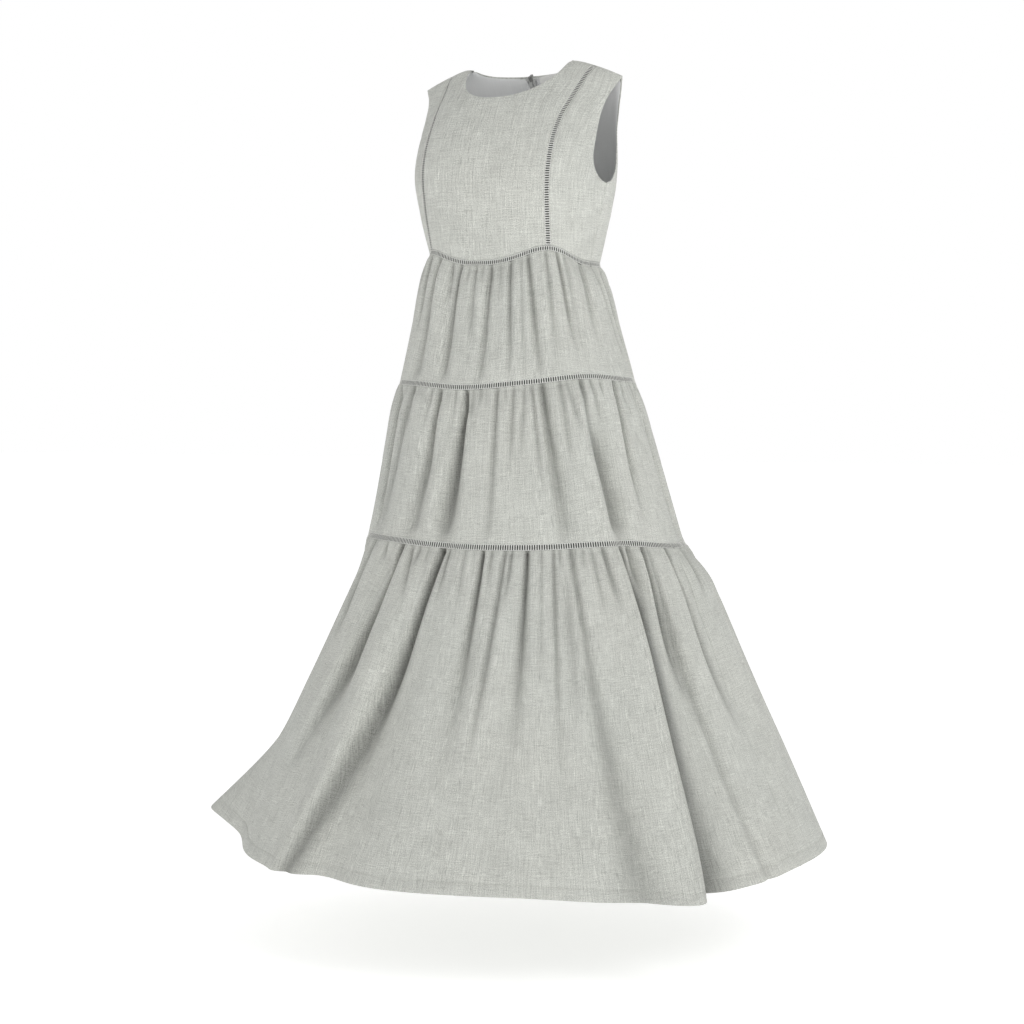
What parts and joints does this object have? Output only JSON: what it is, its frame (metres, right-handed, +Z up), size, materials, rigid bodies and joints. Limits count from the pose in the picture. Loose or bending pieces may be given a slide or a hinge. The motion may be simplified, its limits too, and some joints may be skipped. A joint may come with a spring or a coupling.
{
  "type": "sleeveless tiered maxi dress",
  "caption": "Sleeveless round-neck linen dress with a fitted bodice, gathered flaring skirt tiers joined by open ladder trim, and a back zip; worn form, hollow.",
  "frame": {"origin": "on the body's axis, level with the highest points of the shoulder seams", "axes": "+Z up, -Y the way the wearer faces, +X towards the wearer's left side"},
  "size_m": [1.013, 0.9177, 1.2816],
  "materials": {
    "linen": "matte plain-woven light grey melange linen",
    "ladder_trim": "open-work ladder braid in the same grey",
    "lining_satin": "smooth light grey lining with a soft sheen",
    "zip_tape": "woven grey tape",
    "label_ribbon": "bare woven ribbon",
    "zip_metal": "satin grey lacquer"
  },
  "bodies": {
    "dress": {"bodice_front_center": "linen", "bodice_front_side_left": "linen", "bodice_front_side_right": "linen", "bodice_back_left": "linen", "bodice_back_right": "linen", "lining_front": "lining_satin", "lining_back_left": "lining_satin", "lining_back_right": "lining_satin", "neck_label": "label_ribbon", "trim_princess_left": "ladder_trim", "trim_princess_right": "ladder_trim", "trim_waist_front": "ladder_trim", "trim_waist_back_left": "ladder_trim", "trim_waist_back_right": "ladder_trim", "trim_tiers_1_2_front": "ladder_trim", "trim_tiers_1_2_back": "ladder_trim", "trim_tiers_2_3_front": "ladder_trim", "trim_tiers_2_3_back": "ladder_trim", "tier_1_front": "linen", "tier_1_back_left": "linen", "tier_1_back_right": "linen", "tier_2_front": "linen", "tier_2_back": "linen", "tier_3_front": "linen", "tier_3_back": "linen", "zip_tape": "zip_tape", "zip_slider": "zip_metal"},
    "pull_tab": {"zip_pull_tab": "zip_metal"}
  },
  "joints": [
    {"name": "pull_tab_swing", "type": "hinge", "parent": "dress", "child": "pull_tab", "pos_m": [0, 0.05182, -0.01673], "axis": [1, 0, 0], "range_deg": [0, 130]}
  ]
}
